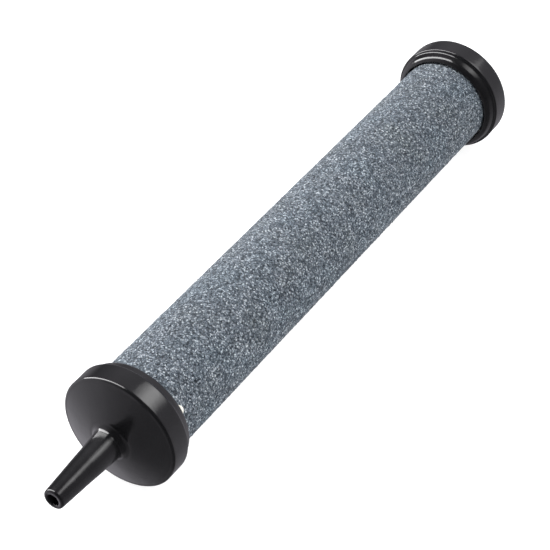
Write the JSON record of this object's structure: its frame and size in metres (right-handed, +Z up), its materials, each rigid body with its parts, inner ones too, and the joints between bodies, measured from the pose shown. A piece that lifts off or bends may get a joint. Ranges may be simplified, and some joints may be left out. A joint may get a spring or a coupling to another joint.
{
  "type": "air stone",
  "caption": "Cylindrical aquarium air stone: a porous mineral tube closed by glued plastic end cups, with a tapered air hose nozzle.",
  "frame": {"origin": "on the resting surface, straight below the middle of the whole length", "axes": "+Y along the axis, from the nozzle towards the blind end; +Z up; +X to the right when looking along +Y"},
  "size_m": [0.0248, 0.1502, 0.0248],
  "materials": {
    "stone": "bonded mineral grains, matte with fine glints",
    "cap_plastic": "satin black moulded plastic",
    "adhesive": "cream hardened glue"
  },
  "bodies": {
    "root": {"stone_tube": "stone", "inlet_cap": "cap_plastic", "end_cap": "cap_plastic", "inlet_adhesive": "adhesive", "end_adhesive": "adhesive"}
  },
  "joints": []
}
